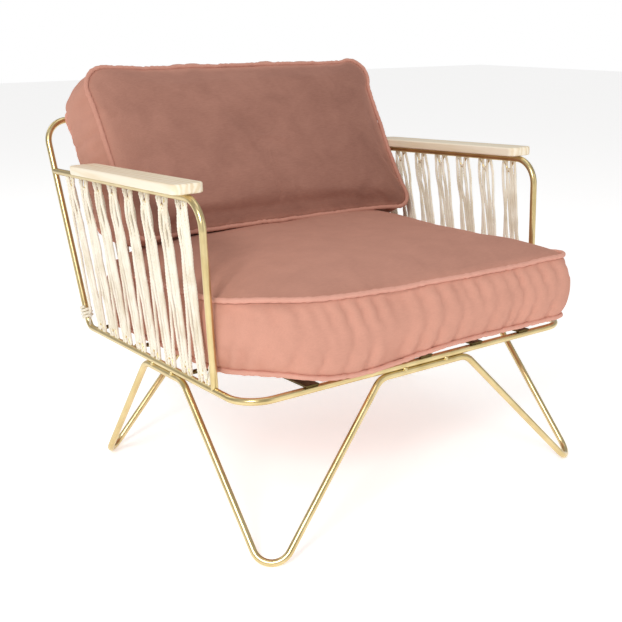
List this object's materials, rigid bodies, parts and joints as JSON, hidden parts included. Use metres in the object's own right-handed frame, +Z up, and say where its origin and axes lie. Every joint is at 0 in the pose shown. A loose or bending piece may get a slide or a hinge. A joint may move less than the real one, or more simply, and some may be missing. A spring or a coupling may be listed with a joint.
{
  "type": "upholstered armchair",
  "caption": "Low lounge armchair with loose velvet seat and back cushions on a bent metal rod frame with zigzag legs, cord-laced sides and flat wooden armrest boards.",
  "frame": {"origin": "centre of the footprint box at floor level, under the seat", "axes": "+Z up, the sitter faces -Y, +X to the right when looking along +Y (the sitter's left hand)"},
  "size_m": [0.7566, 0.7952, 0.7145],
  "materials": {
    "gold_steel": "satin",
    "dark_steel": "satin",
    "ash_wood": "satin",
    "cotton_cord": "matte",
    "velvet": "matte",
    "piping": "matte"
  },
  "bodies": {
    "frame": {"main_frame": "gold_steel", "leg_frame": "gold_steel", "arm_loop_left": "gold_steel", "arm_loop_right": "gold_steel", "cross_bar_front": "dark_steel", "cross_bar_middle": "dark_steel", "cross_bar_rear": "dark_steel", "seat_strip_1": "dark_steel", "seat_strip_2": "dark_steel", "seat_strip_3": "dark_steel", "seat_strip_4": "dark_steel", "seat_strip_5": "dark_steel", "armrest_left": "ash_wood", "armrest_right": "ash_wood", "upper_hooks_left": "gold_steel", "upper_hooks_right": "gold_steel", "upper_hooks_back": "gold_steel", "lower_hooks_left": "gold_steel", "lower_hooks_right": "gold_steel", "lower_hooks_back": "gold_steel", "lacing_cord_left": "cotton_cord", "lacing_cord_right": "cotton_cord", "lacing_cord_back": "cotton_cord", "lacing_knot_left": "cotton_cord", "lacing_knot_right": "cotton_cord", "weld_beads": "gold_steel"},
    "seat_cushion": {"seat_cushion": "velvet", "seat_piping_top": "piping", "seat_piping_bottom": "piping"},
    "back_cushion": {"back_cushion": "velvet", "back_piping_front": "piping", "back_piping_rear": "piping"}
  },
  "joints": [
    {"name": "seat_cushion_slide", "type": "slide", "parent": "frame", "child": "seat_cushion", "axis": [0, -0.9989, 0.0471], "range_m": [0, 0.3]},
    {"name": "back_cushion_lift", "type": "slide", "parent": "frame", "child": "back_cushion", "axis": [0, 0.5, 0.866], "range_m": [0, 0.2]}
  ]
}
